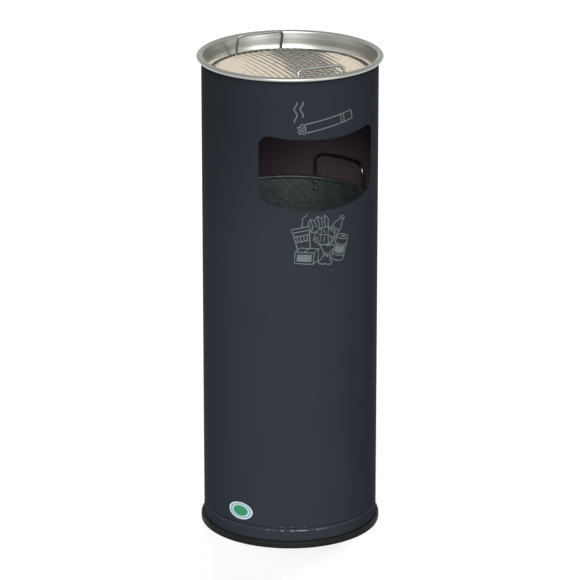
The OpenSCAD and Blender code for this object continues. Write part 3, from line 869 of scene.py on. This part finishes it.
def makeSmokePrint(drawing):  # a lit cigarette with its smoke
    bm = bmesh.new()
    width, tilt, sway, wave = (drawing[key] for key in ("width", "tilt", "sway", "wave"))
    paper = [(-25, -16), (43, -16), (44.5, -14.5), (44.5, -5.5), (43, -4), (-25, -4)]
    ash = [(-26.5, -16), (-29.5, -17.4), (-31.5, -15.2), (-34.5, -15.8), (-36.5, -12), (-34.4, -9.6),
           (-36.6, -6.4), (-32.6, -5.4), (-30, -2.6), (-26.5, -4)]
    flakes = [[(-28.6, -14.4), (-30.6, -10.4), (-28.2, -6)], [(-32.6, -13.4), (-33, -10)],
              [(-31.8, -8), (-33.4, -7)]]
    filterRings = [ovalRun((x, -10), 1.2, 6, -90, 90, 6) for x in (25, 29.5)]
    for points in (paper, ash):
        drawLine(bm, placed(points, tilt), width, closed=True)
    for points in flakes + filterRings:
        drawLine(bm, placed(points, tilt), width)
    for x, low, rise in drawing["threads"]:  # threads of smoke that sway side by side
        heights = [low + rise * i / 30 for i in range(31)]
        drawLine(bm, [(x + sway * sin(2 * pi * z / wave), z) for z in heights], width)
    return finishPrint(bm, drawing["azimuth"], drawing["height"])


def makeLitterPrint(drawing):  # a heap of litter, from the front piece to the one at the back
    carton = {"place": (-6, -21, -20),
              "edge": [(-15, -11), (11, -11), (17, -5), (17, 11), (-9, 11), (-15, 5)],
              "lines": [[(-15, 5), (11, 5), (17, 11)], [(11, 5), (11, -11)], [(-3, 5), (3, 11)]],
              "patches": [[(-12, -8), (8, -8), (8, 2), (-12, 2)]]}
    core = [(-11, 11), (-5.5, 4), (-5.5, -4), (-10, -12), (-3, -14), (0, -12.5), (3, -14), (10, -12),
            (5.5, -4), (5.5, 4), (11, 11), (4, 13.5), (0, 11.5), (-4, 13.5)]
    apple = {"place": (-10, 8, -20), "edge": smoothLoop(core), "lines": [[(0, 11.5), (0.8, 15), (3, 18)]],
             "patches": [ovalRun((-1.8, 0), 1.2, 3.2, 0, 330, 10), ovalRun((1.8, -1), 1.2, 3.2, 0, 330, 10)]}
    can = {"place": (-16, 29, -12),
           "edge": ovalRun((0, 14), 9.5, 3.4, 180, 0, 10) + ovalRun((0, -16), 9.5, 3.4, 360, 180, 10),
           "lines": [ovalRun((0, z), 9.5, 3.4, 180, 360, 10) for z in (14, 6, -9)]
           + [ovalRun((1, 14.4), 3, 1)],
           "patches": [ovalRun((0, 3.4), 7.4, 2.8, 180, 360, 10) + ovalRun((0, -7), 7.4, 2.8, 360, 180, 10)]}
    cup = {"place": (9, -26, 5),
           "edge": [(-8, -20), (8, -20), (11.4, 10), (13, 10), (13, 15), (-13, 15), (-13, 10), (-11.4, 10)],
           "lines": [[(-11.4, 10), (11.4, 10)], [(-10.6, 4), (10.6, 4)], [(-9.8, -4), (9.8, -4)],
                     [(2, 15), (5, 28), (12, 31)], [(-7, 4), (-6.4, -4)], [(-2.4, 4), (-2.2, -4)],
                     [(2.4, 4), (2.2, -4)], [(7, 4), (6.4, -4)]]}
    ball = {"place": (4, 5, 6),
            "edge": [(-16, -3), (-12, 8), (-3, 13), (7, 12), (15, 6), (14, -6), (5, -12), (-8, -11)],
            "lines": [[(-12, 8), (-5, 3), (-3, 13)], [(-16, -3), (-5, 3), (-8, -11)],
                      [(-5, 3), (5, 1), (5, -12)], [(7, 12), (5, 1), (14, -6)], [(9, 9), (12, 3)],
                      [(-11, 0), (-10, -6)], [(0, -1), (-2, -8)], [(9, -2), (10, -6)], [(-1, 9), (2, 4)]]}
    bottle = {"place": (-38, 22, 15),
              "edge": [(-7, -22), (7, -22), (7, 4), (3, 12), (3, 19), (-3, 19), (-3, 12), (-7, 4)],
              "lines": [[(-3, 15.5), (3, 15.5)], [(-7, 0), (7, 0)], [(-7, -11), (7, -11)],
                        [(-4, -3), (4, -3)], [(-4, -6), (4, -6)]]}
    bag = {"place": (8, -3, 24),
           "edge": [(-12, -10), (-15, 3), (-11, 9), (-6, 6), (-1, 11), (5, 7), (10, 10), (14, 4), (12, -10)],
           "lines": [[(-11, 9), (-9, -2), (-11, -8)], [(-6, 6), (-4, -4)], [(-1, 11), (0, 0), (-1, -8)],
                     [(5, 7), (4, -3)], [(10, 10), (8, 0), (9, -7)]]}
    bm = bmesh.new()
    covers = []
    for item in (carton, apple, can, cup, ball, bottle, bag):
        edge = placed(item["edge"], *item["place"])
        for line in [edge + edge[:1]] + [placed(points, *item["place"]) for points in item["lines"]]:
            for run in visibleRuns(line, covers):
                drawLine(bm, run, drawing["width"])
        for patch in item.get("patches", ()):
            fillShape(bm, placed(patch, *item["place"]))
        covers.append(edge)
    return finishPrint(bm, drawing["azimuth"], drawing["height"])


label = {"azimuth": -57.4, "height": 46.5, "halfWide": 19.5, "halfTall": 12.4, "thick": 0.14, "strip": 1.6,
         "rows": 8, "proud": 0.02}


def makeLabel(oval):  # an oval label, cut flat and stuck on round the body
    bm = bmesh.new()
    wide, tall, rows = oval["halfWide"], oval["halfTall"], oval["rows"]
    bmesh.ops.create_circle(bm, cap_ends=True, segments=72, radius=1)
    bmesh.ops.rotate(bm, verts=bm.verts, cent=(0, 0, 0), matrix=Matrix.Rotation(radians(90), 3, "X"))
    bmesh.ops.scale(bm, verts=bm.verts, vec=(wide * mm, 1, tall * mm))
    cutStrips(bm, oval["strip"])
    cutRows(bm, [tall * i / rows for i in range(1 - rows, rows)])
    bmesh.ops.remove_doubles(bm, verts=bm.verts, dist=0.1 * mm)
    flat = bm.loops.layers.uv.new("flat")
    for face in bm.faces:
        for loop in face.loops:
            loop[flat].uv = (loop.vert.co.x / (wide * mm), loop.vert.co.z / (tall * mm))
    raiseSheet(bm, oval["thick"])
    bendRound(bm, oval["azimuth"], oval["height"], oval["proud"])
    return bm


addPiece(makeSmokePrint(smokePrint), "smokePrint", screenInk, "body")
addPiece(makeLitterPrint(litterPrint), "litterPrint", screenInk, "body")
addPiece(makeLabel(label), "ovalLabel", vinylLabel, "body")
print("prints and label laid on")


# Stage: a pale floor, a white surround and soft lamps
stage = {"floorSize": 16, "floorGlow": 0.45, "ambient": 0.05}
# back and fill aren't mirrored in gloss, and the glint is only mirrored
lamps = {"key": dict(azimuth=-24, elevation=33, spread=50, strength=3.4, lights=True, mirrored=True),
         "back": dict(azimuth=142, elevation=38, spread=40, strength=1.95, lights=True, mirrored=False),
         "fill": dict(azimuth=215, elevation=30, spread=40, strength=0.5, lights=True, mirrored=False),
         "glint": dict(azimuth=21, elevation=8, spread=26, strength=0.75, lights=False, mirrored=True)}


def shownRays(tree):  # 1 for what the camera, reflections and glass see
    rays = addNode(tree, "LightPath", {}).outputs
    shown = rays["Is Camera Ray"]
    for kind in ("Is Glossy Ray", "Is Transmission Ray"):
        shown = addNode(tree, "Math", {0: shown, 1: rays[kind]}, operation="MAXIMUM").outputs[0]
    return shown


def makeFloor():
    bm = bmesh.new()
    bmesh.ops.create_grid(bm, x_segments=1, y_segments=1, size=stage["floorSize"] / 2)
    mesh = bpy.data.meshes.new("studioFloor")
    bm.to_mesh(mesh)
    bm.free()
    # Pale matt paper: what only the camera and reflections see lifts it to white and leaves the shadow
    material, tree, shader = startMaterial("paleFloor", {"Roughness": 0.9, "Specular IOR Level": 0.1,
                                                         "Emission Color": linear("#ffffff")})
    shown = shownRays(tree)
    glow = addNode(tree, "Math", {0: shown, 1: stage["floorGlow"]}, operation="MULTIPLY")
    tone = addNode(tree, "Mix", {0: shown, 6: linear("#5c5c5b"), 7: linear("#dadad9")}, data_type="RGBA")
    linkTo(tree, shader, {"Base Color": tone.outputs[2], "Emission Strength": glow.outputs[0]})
    mesh.materials.append(material)
    floor = addObject("studioFloor", mesh)


def makeSurround():
    world = bpy.data.worlds.new("whiteSurround")
    bpy.context.scene.world = world
    world.use_nodes = True
    tree = world.node_tree
    strength = addNode(tree, "MapRange", {"Value": shownRays(tree), "To Min": stage["ambient"]})
    linkTo(tree, tree.nodes["Background"], {"Strength": strength.outputs["Result"]})
    tree.nodes["Background"].inputs["Color"].default_value = linear("#ffffff")


def makeLamps():
    for name, lamp in lamps.items():
        light = bpy.data.lights.new(name + "Lamp", "SUN")
        light.energy = lamp["strength"]
        light.angle = radians(lamp["spread"])
        holder = addObject(name + "Lamp", light)
        holder.rotation_euler = (radians(90 - lamp["elevation"]), 0, radians(lamp["azimuth"]))
        holder.visible_diffuse = lamp["lights"]
        holder.visible_glossy = lamp["mirrored"]


makeFloor()
makeSurround()
makeLamps()
bpy.context.scene.view_settings.view_transform = "Standard"
print("stage lit")
